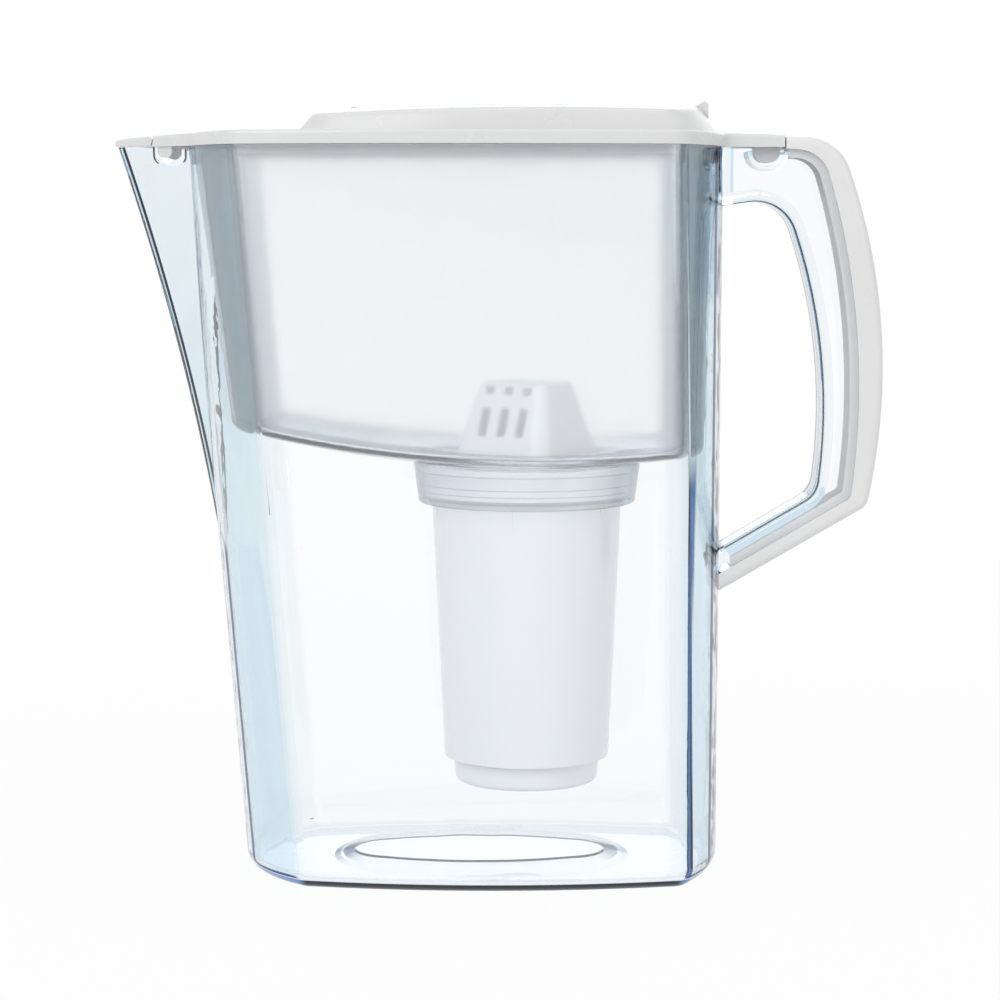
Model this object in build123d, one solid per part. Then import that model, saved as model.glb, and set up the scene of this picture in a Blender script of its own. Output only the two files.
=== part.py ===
from build123d import *
import os
from collections import namedtuple
from math import asin, atan2, cos, degrees, pi, sin, sqrt, tan

# Water filter pitcher with flip lid, in millimetres.
# +Z up from the table, +X from the beak to the handle, +Y to the far side.
# The origin lies under the middle of the whole pitcher, on the table.

# ---------------------------------------------------------------- plan shapes
# A plan is four bowed sides: two ends that bulge along X and two flanks that bulge along Y,
# meeting at four rounded corners.
Plan = namedtuple(
    "Plan", "front_end front_corner rear_corner rear_end corner_half flank_half corner_radius"
)
CORNER_LEAN = 0.5  # how far a corner moves along X for each unit that the walls move in


def blend(low, high, share):
    """The plan that lies a share of the way from the low one to the high one."""
    return Plan(*(a + (b - a) * share for a, b in zip(low, high)))


def inset(plan, distance):
    """The same plan with every side moved in by a distance, or out by a negative one."""
    return Plan(
        plan.front_end + distance,
        plan.front_corner + distance * CORNER_LEAN,
        plan.rear_corner - distance * CORNER_LEAN,
        plan.rear_end - distance,
        plan.corner_half - distance,
        plan.flank_half - distance,
        plan.corner_radius - distance,
    )


def plan_face(plan, z):
    """The flat face that a plan encloses, at a height."""
    middle = (plan.front_corner + plan.rear_corner) / 2
    near, far = -plan.corner_half, plan.corner_half
    sides = [
        ThreePointArc((plan.front_corner, near), (middle, -plan.flank_half), (plan.rear_corner, near)),
        ThreePointArc((plan.rear_corner, near), (plan.rear_end, 0), (plan.rear_corner, far)),
        ThreePointArc((plan.rear_corner, far), (middle, plan.flank_half), (plan.front_corner, far)),
        ThreePointArc((plan.front_corner, far), (plan.front_end, 0), (plan.front_corner, near)),
    ]
    face = make_face(sides)
    return Pos(0, 0, z) * fillet(face.vertices(), plan.corner_radius)


def plan_block(plan, z_low, z_high):
    """A straight block over a plan."""
    return extrude(plan_face(plan, z_low), z_high - z_low)


def side_face(edges):
    """A face in the XZ plane from edges drawn with their second coordinate upwards."""
    return Plane.XZ * make_face(edges)


def across(face, half):
    """A side face thickened equally to both sides of the middle plane."""
    return extrude(face, half, both=True)


# ---------------------------------------------------------------- jug
RIM_Z = 249.5  # rim of the jug above the table
JUG_BASE = Plan(-88.5, -67.0, 63.5, 75.9, 43.0, 50.0, 8.0)
JUG_RIM = Plan(-108.4, -87.5, 59.5, 76.6, 47.0, 54.5, 10.0)
WALL = 2.2
FLOOR_WALL = 2.6
BASE_EDGE_RADIUS = 6.0
PUSH_UP_LOW = Plan(-58.2, -44.0, 31.0, 45.1, 29.0, 38.6, 14.0)  # the shallow dish in the base
PUSH_UP_HIGH = Plan(-51.0, -40.0, 25.5, 36.4, 13.0, 19.2, 9.0)
PUSH_UP_HEIGHT = 2.0
SEAT_STEP = 1.2  # the step in the rim that carries the hopper's flange
SEAT_WIDTH = 1.1
OVERCUT = 1.0  # how far a cutter runs past what it cuts
TOUCH = 0.05  # overlap that fuses two bodies of one piece

# ---------------------------------------------------------------- beak
BEAK_KINK_Z = 118.0  # where the beak leaves the front wall
BEAK_KINK_X = -98.2
BEAK_MIDDLE_Z = 183.4
BEAK_MIDDLE_X = -112.0
BEAK_TIP_X = -131.2  # at the rim
BEAK_TIP_RADIUS = 5.0
BEAK_LOW_RADIUS = 3.4
BEAK_ROOT_HALF = 23.0  # half width where it joins the front wall, at the rim
BEAK_LOW_HALF = 2.6
BEAK_DEPTH = 9.0  # how far its solid runs back into the jug
BEAK_SECTIONS = 5
BEAK_SINK = 6.0  # how far the beak starts below its kink, inside the front wall
BEAK_LEAN_STEPS = 8
BEAK_LEAN_MAX = 1.2  # steepest angle of its sides from the middle plane, in radians
BEAK_FLARE = 1.6  # how far its sides spread on behind the front wall's face

# ---------------------------------------------------------------- handle
GRIP_HALF = 10.5  # half width of the handle
GRIP_WALL = 2.2
GRIP_WEB = 4.2  # clear web round the finger gap
GRIP_EDGE_RADIUS = 3.2
GRIP_ROOT_X = 75.4  # inside the rear wall
GAP_TOP = (75.4, 229.4)
GAP_TOP_CORNER = (96.0, 232.3)
GAP_BACK = (109.4, 180.3)
GAP_LOW_CORNER = (108.5, 131.05)
GAP_FOOT = (75.4, 111.5)
GAP_TOP_RADIUS = 14.0
GAP_LOW_RADIUS = 9.0
CLEAR_TOP_CORNER = (109.5, 248.4)
CLEAR_BACK = (122.05, 188.75)
CLEAR_LOW_CORNER = (120.8, 129.6)
CLEAR_FOOT_Z = 103.0
CLEAR_TOP_RADIUS = 12.0
CLEAR_LOW_RADIUS = 3.0
COVER_START_X = 97.4  # its end towards the lid's tail
COVER_TOP_Z = 253.4
COVER_TOP_CORNER = (115.3, 252.7)
COVER_BACK = (130.8, 190.7)
COVER_LOW_CORNER = (126.8, 126.5)
COVER_FOOT_Z = 96.6
COVER_TOP_RADIUS = 16.0
COVER_LOW_RADIUS = 5.0
COVER_EDGE_RADIUS = 3.2
COVER_TONGUE = 2.8  # depth of the tongue between the clear side walls
COVER_TONGUE_WALL = 1.6
COVER_TONGUE_CLEAR = 12.0  # the tongues stay out of the catch for the lid over this depth
COVER_FIT = 0.1
HOLLOW_START_X = 79.5  # the clear handle is a channel from here, open to the back and the top

# ---------------------------------------------------------------- hopper
HOPPER_RIM = Plan(-104.9, -86.4, 57.8, 72.8, 43.8, 51.0, 7.5)
HOPPER_LOW = Plan(-90.0, -77.2, 58.8, 70.4, 41.0, 47.5, 11.0)
HOPPER_LOW_Z = 138.0
HOPPER_WALL = 1.8
HOPPER_FLOOR_WALL = 2.2
HOPPER_FLOOR_Z = 140.2  # lowest point of its underside
HOPPER_FLOOR_X = 12.0
HOPPER_FLOOR_RADIUS = 400.0  # arch of the floor from end to end
HOPPER_CAMBER_RADIUS = 270.0  # and from flank to flank
HOPPER_EDGE_RADIUS = 4.5
HOPPER_BAND_DEPTH = 6.0  # the band that fits the jug's mouth
HOPPER_FIT = 0.35
FLANGE_THICK = 1.0

# ---------------------------------------------------------------- cartridge and its collar
FILTER_X = 9.3
CASE_TOP_RADIUS = 33.0  # where the tapered case meets its rim
CASE_RIM_STEP = 2.65  # how far its rim stands out
CARTRIDGE_GAP = 0.35
SOCKET_RADIUS = CASE_TOP_RADIUS + CASE_RIM_STEP + CARTRIDGE_GAP
SOCKET_FLOOR_Z = 129.4  # top of the lip that carries the cartridge
COLLAR_LIP_PLAY = 0.8  # room between the lip and the case
COLLAR_WALL = 1.6
COLLAR_TAPER = 1.8
COLLAR_FLARE = 1.6
COLLAR_LOW_RADIUS = SOCKET_RADIUS + COLLAR_WALL
COLLAR_TOP_RADIUS = COLLAR_LOW_RADIUS + COLLAR_TAPER
COLLAR_FLARE_RADIUS = COLLAR_TOP_RADIUS + COLLAR_FLARE
COLLAR_FLARE_Z = 141.5
COLLAR_LOW_Z = 127.6
COLLAR_EDGE_RADIUS = 1.2
CASE_LOW_RADIUS = 28.7
CASE_RIM_Z = 130.7  # underside of its rim
CASE_LOW_Z = 38.6
CASE_WALL = 1.5
CASE_RIM_HEIGHT = 8.4
CASE_GUIDES = 6
CASE_GUIDE_START = -100.0  # degrees round the axis
CASE_GUIDE_WIDTH = 1.2
CASE_GUIDE_HEIGHT = 0.4
CASE_GUIDE_REACH = CASE_TOP_RADIUS + CASE_GUIDE_HEIGHT
CASE_GUIDE_LOW_Z = 120.0
CASE_GUIDE_TOP = 3.0
FOOT_RADIUS = 25.6
FOOT_LOW_RADIUS = 24.8
FOOT_LOW_Z = 29.6
FOOT_WALL = 1.4
FOOT_ROUND = 2.0
FOOT_HOLE_RADIUS = 1.7
FOOT_HOLE_RINGS = ((8.5, 6), (16.5, 12))
SEAL_RADIUS = 1.2
SEAL_CENTRE_RADIUS = CASE_TOP_RADIUS + CASE_RIM_STEP / 2
SCREEN_THICK = 1.0
BED_GAP = 0.1
HOOD_FLANGE_THICK = 1.8
HOOD_MARK_Z = 146.6  # where the hood comes out of the collar
HOOD_TOP_Z = 169.0
HOOD_LENGTH = 37.0
HOOD_WIDTH = 37.0
HOOD_CORNER = 6.0
HOOD_TOP_LENGTH = 27.0
HOOD_TOP_WIDTH = 20.5
HOOD_TOP_CORNER = 4.0
HOOD_WALL = 1.4
HOOD_TURN = -34.0  # degrees from the pitcher's middle plane
HOOD_SLOTS = 3
HOOD_SLOT_WIDTH = 3.4
HOOD_SLOT_PITCH = 7.6
HOOD_SLOT_LOW_Z = 151.0
HOOD_SLOT_HIGH_Z = 160.6
HOOD_VENT_Z = 165.2
HOOD_VENT_HEIGHT = 2.6
HOOD_VENT_REACH = 2.4
HOOD_TOP_ROUND = 1.2
HOOD_BASE_Z = CASE_RIM_Z + CASE_RIM_HEIGHT + HOOD_FLANGE_THICK

# ---------------------------------------------------------------- lid
LID_OVERHANG = 0.9
LID_RIM_THICK = 4.6
LID_WALL = 1.8
LID_TOP_Z = RIM_Z + LID_RIM_THICK
LID_SEAT = 4.0  # width of the lid's rim where it rests on the jug and the hopper
LID_EDGE_RADIUS = 1.2
LID_BLEND_RADIUS = 5.0  # in plan, where the tongue and the tail run into the rim
TONGUE_ROOT_MARGIN = 2.0
TONGUE_DROOP_X = -84.0  # where the top of the tongue starts to fall towards the beak
TONGUE_DROOP_RADIUS = 560.0
TONGUE_HOLLOW_X = -115.5
TONGUE_SEAT = 3.0
TAIL_DROOP_X = 74.0
TAIL_DROOP_RADIUS = 430.0
TAIL_CROWN = 2.4
TAIL_SEAM = 0.5
TAIL_END_X = COVER_START_X - TAIL_SEAM
SKIRT_DEPTH = 3.0
SKIRT_WALL = 1.2
SKIRT_FIT = 0.9
DOME_LOW = Plan(-70.0, -65.5, 60.0, 74.8, 42.0, 48.6, 12.0)
DOME_HIGH = Plan(-61.0, -57.5, 54.5, 68.5, 39.0, 45.6, 9.0)
DOME_HEIGHT = 11.0
DOME_SIDE_DROP = 1.6  # how far under the crest the side's upper plan lies
DOME_TOP_Z = LID_TOP_Z + DOME_HEIGHT
DOME_HIGH_Z = DOME_TOP_Z - DOME_SIDE_DROP
DOME_CREST_X = 8.0
DOME_CREST_RADIUS = 820.0
DOME_CAMBER_RADIUS = 281.0
DOME_CAMBER_MARGIN = 8.0
DOME_EDGE_RADIUS = 2.6
LUG_X = -113.4  # middle of the front lugs
LUG_WIDTH = 5.4
LUG_DEPTH = 3.7
LUG_PLAY = 1.2  # room round a lug in the beak's wall
LUG_POCKET_DEEPER = 2.2
LUG_ROUND = 0.85  # share of its half width that rounds its lower corners
REAR_LUG_X = 91.4
REAR_LUG_WIDTH = 8.8
REAR_LUG_DEPTH = 5.2
REAR_LUG_HALF = 5.0
CATCH_WALL = 1.3
CATCH_PLAY = 1.2
CATCH_DROP = 1.4

# ---------------------------------------------------------------- flip lid
FLAP_HINGE_X = -52.0
FLAP_NOSE_RADIUS = 2.7
FLAP_NOSE_HALF = 20.0
FLAP_FRONT_X = -48.0
FLAP_REAR_X = 62.0
FLAP_HALF = 36.0
FLAP_FRONT_RADIUS = 14.0
FLAP_REAR_RADIUS = 26.0
FLAP_THICK = 1.8
FLAP_SEAM = 0.5
FLAP_REST = 0.3  # play between the flap and its ledge
LEDGE_WIDTH = 1.8
LEDGE_THICK = 1.4
FLAP_RIB_DEPTH = 2.6
FLAP_RIB_WALL = 1.2
FLAP_RIB_PLAY = 0.7
FLAP_PIN_RADIUS = 1.0
FLAP_PIN_LENGTH = 3.2
PIN_CLEARANCE = 0.05
EAR_WIDTH = 4.4
EAR_REACH = 2.25  # behind the hinge line
EAR_RELIEF_HALF = 28.0
EAR_DEPTH = 2.3  # below the hinge line
FIN_HALF = 11.0
FIN_LOW_Z = DOME_TOP_Z - 6.7
FIN_FRONT = (65.2, DOME_TOP_Z - 2.7)
FIN_PEAK = (69.4, DOME_TOP_Z - 0.2)
FIN_REAR = (70.7, DOME_TOP_Z - 1.3)
FIN_OVERLAP = 2.0
FIN_FOOT = 4.5
FIN_ROOT_DROP = 0.6
SHELF_THICK = 1.4

# ---------------------------------------------------------------- spout flap
SPOUT_HINGE_X = -119.4
SPOUT_NOSE_RADIUS = 1.5
SPOUT_HINGE_DROP = TONGUE_DROOP_X - SPOUT_HINGE_X
SPOUT_HINGE_Z = (
    LID_TOP_Z - TONGUE_DROOP_RADIUS + sqrt(TONGUE_DROOP_RADIUS**2 - SPOUT_HINGE_DROP**2)
    - SPOUT_NOSE_RADIUS
)
SPOUT_SEAM = 0.35
SPOUT_REST = 0.3
SPOUT_KNUCKLE_HALF = 4.0
SPOUT_PIN_RADIUS = 0.7
SPOUT_PIN_LENGTH = 2.4
SPOUT_LEAN = 0.36  # forward slope of the seam below the hinge line


# ---------------------------------------------------------------- shared shapes
FAR = 200.0  # reach of a cutter that runs clear of the whole part
FLAP_HINGE_Z = (
    DOME_TOP_Z - DOME_CREST_RADIUS + sqrt(DOME_CREST_RADIUS**2 - (FLAP_HINGE_X - DOME_CREST_X) ** 2)
    - FLAP_NOSE_RADIUS
)


def jug_plan(z):
    """The outside of the jug at a height."""
    return blend(JUG_BASE, JUG_RIM, z / RIM_Z)


def hopper_plan(z):
    """The outside of the hopper at a height."""
    return blend(HOPPER_LOW, HOPPER_RIM, (z - HOPPER_LOW_Z) / (RIM_Z - HOPPER_LOW_Z))


def dome_plan(z):
    """The side of the lid's dome at a height."""
    return blend(DOME_LOW, DOME_HIGH, (z - LID_TOP_Z) / (DOME_HIGH_Z - LID_TOP_Z))


def tapered(plan_at, distance, z_low, z_high):
    """A block between two heights whose plan follows a taper, moved in by a distance."""
    ends = [plan_face(inset(plan_at(z), distance), z) for z in (z_low, z_high)]
    return loft(ends, ruled=True)


def block(x_low, x_high, half, z_low, z_high):
    """A box from its limits, equal to both sides of the middle plane."""
    centre = Pos((x_low + x_high) / 2, 0, (z_low + z_high) / 2)
    return centre * Box(x_high - x_low, 2 * half, z_high - z_low)


def pair_block(x_low, x_high, y_low, y_high, z_low, z_high):
    """Two boxes, one on each side of the middle plane."""
    outer = block(x_low, x_high, y_high, z_low, z_high)
    return outer - block(x_low - OVERCUT, x_high + OVERCUT, y_low, z_low - OVERCUT, z_high + OVERCUT)


def bar(x, z, radius, half):
    """A round bar along Y, centred on the middle plane."""
    return Pos(x, 0, z) * Rot(90, 0, 0) * Cylinder(radius, 2 * half)


def pair_pins(x, z, radius, y_low, y_high):
    """Two round pins along Y, one on each side of the middle plane."""
    length = y_high - y_low
    pin = Rot(90, 0, 0) * Cylinder(radius, length)
    return [Pos(x, side * (y_low + length / 2), z) * pin for side in (-1, 1)]


def ridge_x(z):
    """The beak's ridge, a bow through its kink, middle and tip."""
    run = RIM_Z - BEAK_KINK_Z
    share = (z - BEAK_KINK_Z) / run
    middle_share = (BEAK_MIDDLE_Z - BEAK_KINK_Z) / run
    chord_middle = BEAK_KINK_X + (BEAK_TIP_X - BEAK_KINK_X) * middle_share
    bow = (BEAK_MIDDLE_X - chord_middle) / (middle_share * (1 - middle_share))
    return BEAK_KINK_X + (BEAK_TIP_X - BEAK_KINK_X) * share + bow * share * (1 - share)


def beak_root(z):
    """Where the beak's side meets the front wall at a height: its X and its half width."""
    share = (z - BEAK_KINK_Z) / (RIM_Z - BEAK_KINK_Z)
    half = BEAK_LOW_HALF + (BEAK_ROOT_HALF - BEAK_LOW_HALF) * share
    wall = jug_plan(z)
    depth = wall.front_corner - wall.front_end
    bow_radius = (wall.corner_half**2 + depth**2) / (2 * depth)
    return wall.front_end + bow_radius - sqrt(bow_radius**2 - half**2), half


def beak_face(z, distance):
    """The beak's V at a height, with its sides moved in by a distance."""
    share = (z - BEAK_KINK_Z) / (RIM_Z - BEAK_KINK_Z)
    radius = BEAK_LOW_RADIUS + (BEAK_TIP_RADIUS - BEAK_LOW_RADIUS) * share
    root_x, root_half = beak_root(z)
    lean = BEAK_LEAN_MAX
    for _ in range(BEAK_LEAN_STEPS):
        sharp_x = ridge_x(z) - radius * (1 / sin(lean) - 1)
        lean = min(atan2(root_half, root_x - sharp_x), BEAK_LEAN_MAX)
    tip_x = sharp_x + distance / sin(lean)
    flare_x = root_x + BEAK_FLARE + 2 * max(distance, 0)
    back_x = root_x + BEAK_DEPTH
    half = (flare_x - tip_x) * tan(lean)
    corners = [(back_x, -half), (flare_x, -half), (tip_x, 0), (flare_x, half), (back_x, half)]
    face = make_face(Polyline(*corners, close=True))
    tip = face.vertices().sort_by(Axis.X)[0]
    return Pos(0, 0, z) * fillet(tip, radius - distance)


def beak_block(distance, z_low, z_high):
    """The beak as a solid, with its sides moved in by a distance."""
    step = (z_high - z_low) / (BEAK_SECTIONS - 1)
    return loft([beak_face(z_low + step * i, distance) for i in range(BEAK_SECTIONS)])


def grip_face(top, top_corner, back, low_corner, foot, top_radius, low_radius):
    """A handle outline: along the top, round the bowed back and down to the jug's wall."""
    face = side_face(
        [
            Line(top, top_corner),
            ThreePointArc(top_corner, back, low_corner),
            Line(low_corner, foot),
            Line(foot, top),
        ]
    )
    for corner, radius in ((top_corner, top_radius), (low_corner, low_radius)):
        vertex = face.vertices().sort_by_distance((corner[0], 0, corner[1]))[0]
        face = fillet(vertex, radius)
    return face


def gap_face():
    """The finger gap, from the side."""
    return grip_face(
        GAP_TOP, GAP_TOP_CORNER, GAP_BACK, GAP_LOW_CORNER, GAP_FOOT, GAP_TOP_RADIUS, GAP_LOW_RADIUS
    )


def clear_face():
    """The outline of the clear half of the handle, from the side."""
    top = (GRIP_ROOT_X, RIM_Z)
    foot = (GRIP_ROOT_X, CLEAR_FOOT_Z)
    return grip_face(
        top, CLEAR_TOP_CORNER, CLEAR_BACK, CLEAR_LOW_CORNER, foot, CLEAR_TOP_RADIUS, CLEAR_LOW_RADIUS
    )


def lug_face(x, width, depth, play=0.0, deeper=0.0):
    """A rounded tab that hangs from the rim, from the side, with room round it."""
    half = width / 2 + play
    low_z = RIM_Z - depth - deeper
    high_z = RIM_Z + OVERCUT
    corners = [(x - half, high_z), (x - half, low_z), (x + half, low_z), (x + half, high_z)]
    face = side_face(Polyline(*corners, close=True))
    return fillet(face.vertices().sort_by(Axis.Z)[:2], LUG_ROUND * half)


def crest_z(x):
    """The height of the dome's crest line above a point of the X axis."""
    return DOME_TOP_Z - DOME_CREST_RADIUS + sqrt(DOME_CREST_RADIUS**2 - (x - DOME_CREST_X) ** 2)


def crest_block(depth):
    """Everything under the dome's crowned top, lowered by a depth."""
    half = DOME_LOW.flank_half + DOME_CAMBER_MARGIN
    camber = DOME_CAMBER_RADIUS - depth
    side_z = DOME_TOP_Z - DOME_CAMBER_RADIUS + sqrt(camber**2 - half**2)
    low_z = RIM_Z - DOME_CAMBER_MARGIN
    edges = [
        ThreePointArc((-half, side_z), (0, DOME_TOP_Z - depth), (half, side_z)),
        Line((half, side_z), (half, low_z)),
        Line((half, low_z), (-half, low_z)),
        Line((-half, low_z), (-half, side_z)),
    ]
    section = Plane.YZ.offset(DOME_CREST_X) * make_face(edges)
    hub = Axis((DOME_CREST_X, 0, DOME_TOP_Z - DOME_CREST_RADIUS), (0, 1, 0))
    sweep = degrees(asin((DOME_LOW.rear_end - DOME_LOW.front_end) / DOME_CREST_RADIUS))
    return revolve(section.rotate(hub, -sweep), hub, 2 * sweep)


def dome_block(depth, z_low):
    """The lid's dome as a solid, with its skin moved in by a depth."""
    return tapered(dome_plan, depth, z_low, DOME_TOP_Z + OVERCUT) & crest_block(depth)


def flap_block(growth, z_low=RIM_Z, z_high=DOME_TOP_Z + OVERCUT):
    """A straight block over the flap's panel, grown outwards."""
    x_low, x_high = FLAP_FRONT_X - growth, FLAP_REAR_X + growth
    half = FLAP_HALF + growth
    outline = Polyline((x_low, -half), (x_high, -half), (x_high, half), (x_low, half), close=True)
    face = make_face(outline)
    face = fillet(face.vertices().sort_by(Axis.X)[:2], FLAP_FRONT_RADIUS + growth)
    face = fillet(face.vertices().sort_by(Axis.X)[-2:], FLAP_REAR_RADIUS + growth)
    return extrude(Pos(0, 0, z_low) * face, z_high - z_low)


def droop_cutter(x_start, radius, side):
    """What is taken off the lid's top where it falls away along X on one side of a start line."""
    x_low, x_high = sorted((x_start, x_start + side * FAR / 2))
    above = block(x_low, x_high, FAR / 2, LID_TOP_Z - LID_RIM_THICK, LID_TOP_Z + OVERCUT)
    return above - bar(x_start, LID_TOP_Z - radius, radius, FAR / 2)


# ---------------------------------------------------------------- jug
def clear_grip():
    """The clear half of the handle: a channel open to the top and the back."""
    grip = across(clear_face(), GRIP_HALF) - across(gap_face(), GRIP_HALF + OVERCUT)
    round_gap = [
        edge
        for edge in grip.edges()
        if abs(abs(edge.center().Y) - GRIP_HALF) < TOUCH and gap_zone(edge.center())
    ]
    grip = fillet(round_gap, GRIP_EDGE_RADIUS)
    hollow = across(offset(clear_face(), OVERCUT), GRIP_HALF - GRIP_WALL)
    hollow -= across(offset(gap_face(), GRIP_WEB), GRIP_HALF)
    hollow -= block(0, HOLLOW_START_X, FAR, 0, FAR * 2)
    grip -= hollow
    catch_room = CATCH_PLAY + CATCH_WALL
    catch = across(
        lug_face(REAR_LUG_X, REAR_LUG_WIDTH, REAR_LUG_DEPTH, catch_room, catch_room),
        GRIP_HALF - GRIP_WALL + TOUCH,
    )
    catch -= across(
        lug_face(REAR_LUG_X, REAR_LUG_WIDTH, REAR_LUG_DEPTH, CATCH_PLAY, CATCH_PLAY), GRIP_HALF
    )
    catch -= block(0, FAR, FAR, RIM_Z - CATCH_DROP, RIM_Z + FAR)
    return grip + catch


def gap_zone(point):
    """Whether a point of the clear handle's side lies on the rim of the finger gap."""
    return gap_face().distance_to((point.X, 0, point.Z)) < TOUCH and point.X > GRIP_ROOT_X + TOUCH


def push_up():
    """The shallow dish in the base, as a block that narrows upwards."""
    return loft([plan_face(PUSH_UP_LOW, 0), plan_face(PUSH_UP_HIGH, PUSH_UP_HEIGHT)], ruled=True)


def jug_body():
    """The clear jug with its beak and the channel half of its handle."""
    outer = tapered(jug_plan, 0, 0, RIM_Z)
    outer = fillet(outer.edges().group_by(Axis.Z)[0], BASE_EDGE_RADIUS)
    beak_low_z = BEAK_KINK_Z - BEAK_SINK
    outer += beak_block(0, beak_low_z, RIM_Z)
    outer += clear_grip()
    chamber = tapered(jug_plan, WALL, FLOOR_WALL, RIM_Z + OVERCUT)
    chamber = fillet(chamber.edges().group_by(Axis.Z)[0], BASE_EDGE_RADIUS - WALL)
    chamber += beak_block(WALL, beak_low_z, RIM_Z + OVERCUT)
    chamber -= Pos(0, 0, FLOOR_WALL) * push_up()
    jug = outer - chamber - push_up()
    jug -= plan_block(inset(JUG_RIM, WALL - SEAT_WIDTH), RIM_Z - SEAT_STEP, RIM_Z + OVERCUT)
    jug -= across(lug_face(LUG_X, LUG_WIDTH, LUG_DEPTH, LUG_PLAY, LUG_POCKET_DEEPER), FAR / 2)
    return jug


def handle_cover():
    """The white back of the handle, with two tongues that snap between the clear side walls."""
    top = (GRIP_ROOT_X, COVER_TOP_Z)
    foot = (GRIP_ROOT_X, COVER_FOOT_Z)
    outline = grip_face(
        top, COVER_TOP_CORNER, COVER_BACK, COVER_LOW_CORNER, foot, COVER_TOP_RADIUS, COVER_LOW_RADIUS
    )
    cover = across(outline, GRIP_HALF)
    back_edges = [
        edge
        for edge in cover.edges()
        if abs(abs(edge.center().Y) - GRIP_HALF) < TOUCH and edge.center().X > GRIP_ROOT_X + TOUCH
    ]
    cover = fillet(back_edges, COVER_EDGE_RADIUS)
    cover -= across(offset(clear_face(), COVER_FIT), GRIP_HALF + OVERCUT)
    tongue = across(offset(clear_face(), COVER_FIT + TOUCH), GRIP_HALF - GRIP_WALL - COVER_FIT)
    tongue -= across(offset(clear_face(), -COVER_TONGUE), GRIP_HALF)
    tongue -= block(0, FAR, GRIP_HALF - GRIP_WALL - COVER_FIT - COVER_TONGUE_WALL, 0, RIM_Z + FAR)
    catch_end_x = REAR_LUG_X + REAR_LUG_WIDTH / 2 + CATCH_PLAY + CATCH_WALL
    tongue -= block(0, catch_end_x + COVER_FIT, GRIP_HALF, RIM_Z - COVER_TONGUE_CLEAR, RIM_Z + FAR)
    tongue -= block(0, HOLLOW_START_X + COVER_FIT, GRIP_HALF, 0, RIM_Z)
    cover += tongue
    cover -= block(0, COVER_START_X, GRIP_HALF + OVERCUT, RIM_Z - COVER_TONGUE_CLEAR, RIM_Z + FAR)
    cover -= tapered(jug_plan, -COVER_FIT, 0, RIM_Z)
    return cover


# ---------------------------------------------------------------- hopper
def over_floor(rise):
    """Everything over the hopper's floor, which sags from end to end and from flank to flank."""
    half = HOPPER_RIM.flank_half + OVERCUT
    camber = HOPPER_CAMBER_RADIUS - rise
    low_z = HOPPER_FLOOR_Z + rise
    side_z = low_z + camber - sqrt(camber**2 - half**2)
    high_z = HOPPER_FLOOR_Z + HOPPER_FLOOR_RADIUS / 2
    edges = [
        ThreePointArc((-half, side_z), (0, low_z), (half, side_z)),
        Line((half, side_z), (half, high_z)),
        Line((half, high_z), (-half, high_z)),
        Line((-half, high_z), (-half, side_z)),
    ]
    section = Plane.YZ.offset(HOPPER_FLOOR_X) * make_face(edges)
    hub = Axis((HOPPER_FLOOR_X, 0, HOPPER_FLOOR_Z + HOPPER_FLOOR_RADIUS), (0, 1, 0))
    sweep = degrees(asin((HOPPER_RIM.rear_end - HOPPER_RIM.front_end) / HOPPER_FLOOR_RADIUS))
    return revolve(section.rotate(hub, -sweep), hub, 2 * sweep)


def hopper_shell(distance, floor_rise, z_high):
    """The hopper as a solid block with a sagging floor, its skin moved in."""
    return tapered(hopper_plan, distance, HOPPER_LOW_Z, z_high) & over_floor(floor_rise)


def hopper():
    """The frosted funnel with its rim, its sagging floor and the collar for the cartridge."""
    outer = hopper_shell(0, 0, RIM_Z)
    floor = outer.faces().sort_by_distance((HOPPER_FLOOR_X, 0, HOPPER_FLOOR_Z))[0]
    outer = fillet(floor.edges(), HOPPER_EDGE_RADIUS)
    band_inset = WALL + HOPPER_FIT
    outer += tapered(jug_plan, band_inset, RIM_Z - HOPPER_BAND_DEPTH, RIM_Z)
    flange = inset(JUG_RIM, WALL - SEAT_WIDTH + HOPPER_FIT)
    outer += plan_block(flange, RIM_Z - FLANGE_THICK, RIM_Z)
    inner = hopper_shell(HOPPER_WALL, HOPPER_FLOOR_WALL, RIM_Z + OVERCUT)
    inner_floor = inner.faces().sort_by_distance((HOPPER_FLOOR_X, 0, HOPPER_FLOOR_Z))[0]
    inner = fillet(inner_floor.edges(), HOPPER_EDGE_RADIUS - HOPPER_WALL)
    collar_profile = Polyline(
        (0, HOPPER_FLOOR_Z + HOPPER_FLOOR_WALL),
        (COLLAR_FLARE_RADIUS, HOPPER_FLOOR_Z + HOPPER_FLOOR_WALL),
        (COLLAR_TOP_RADIUS, COLLAR_FLARE_Z),
        (COLLAR_LOW_RADIUS, COLLAR_LOW_Z),
        (0, COLLAR_LOW_Z),
        close=True,
    )
    collar = revolve(side_face(collar_profile), Axis.Z)
    collar = fillet(collar.edges().group_by(Axis.Z)[0], COLLAR_EDGE_RADIUS)
    shell = outer - inner + Pos(FILTER_X, 0, 0) * collar
    socket_height = FAR
    socket = Pos(0, 0, SOCKET_FLOOR_Z + socket_height / 2) * Cylinder(SOCKET_RADIUS, socket_height)
    passage = Pos(0, 0, COLLAR_LOW_Z) * Cylinder(CASE_TOP_RADIUS + COLLAR_LIP_PLAY, FAR / 4)
    return shell - Pos(FILTER_X, 0, 0) * (socket + passage)


# ---------------------------------------------------------------- cartridge
def round_solid(points):
    """A solid of revolution about the cartridge's axis from a closed (radius, height) outline."""
    return Pos(FILTER_X, 0, 0) * revolve(side_face(Polyline(*points, close=True)), Axis.Z)


def case_radius(z):
    """The outside of the cartridge's tapered case at a height."""
    share = (z - CASE_LOW_Z) / (CASE_RIM_Z - CASE_LOW_Z)
    return CASE_LOW_RADIUS + (CASE_TOP_RADIUS - CASE_LOW_RADIUS) * share


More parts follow.
